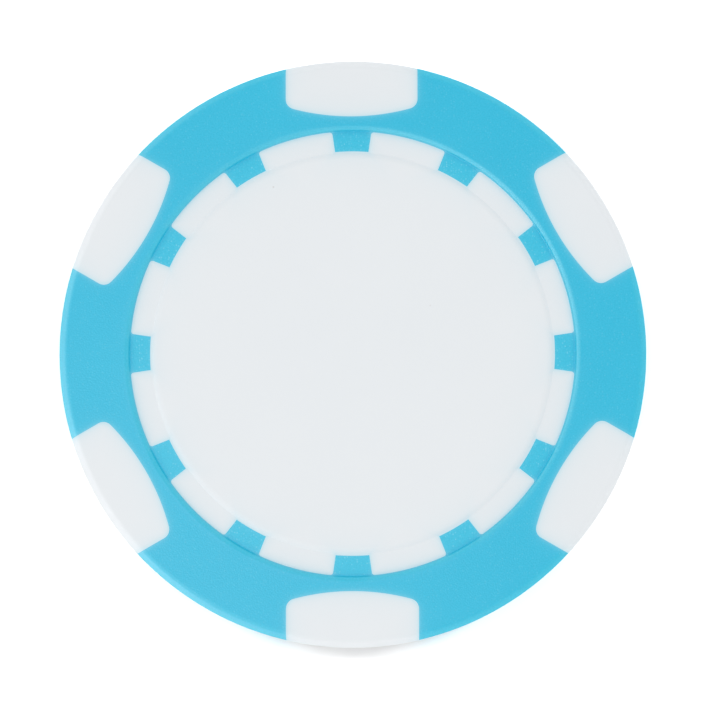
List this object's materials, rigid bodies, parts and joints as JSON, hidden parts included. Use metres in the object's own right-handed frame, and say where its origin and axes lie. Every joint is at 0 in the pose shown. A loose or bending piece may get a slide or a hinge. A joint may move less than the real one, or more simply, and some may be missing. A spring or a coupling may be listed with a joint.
{
  "type": "poker chip",
  "caption": "Round two-colour moulded game chip with a weighted core, white edge spots, a sunk dashed ring and a blank raised centre pad on each face.",
  "frame": {"origin": "centre of the chip on the plane of the back rim, on which it lies", "axes": "+Z is the axis of the chip, from the back face to the front face; +Y points at the middle of one edge spot, which is at the top of the picture, and +X is to the right there"},
  "size_m": [0.04, 0.04, 0.0033],
  "materials": {
    "slug_steel": "plain punched steel, slightly rounded at the edge",
    "white_abs": "satin moulded ABS with a faint mould grain",
    "blue_abs": "satin moulded ABS with a fine sparkle from the mould grain"
  },
  "bodies": {
    "root": {"steel_slug": "slug_steel", "white_core": "white_abs", "blue_shell": "blue_abs"}
  },
  "joints": []
}
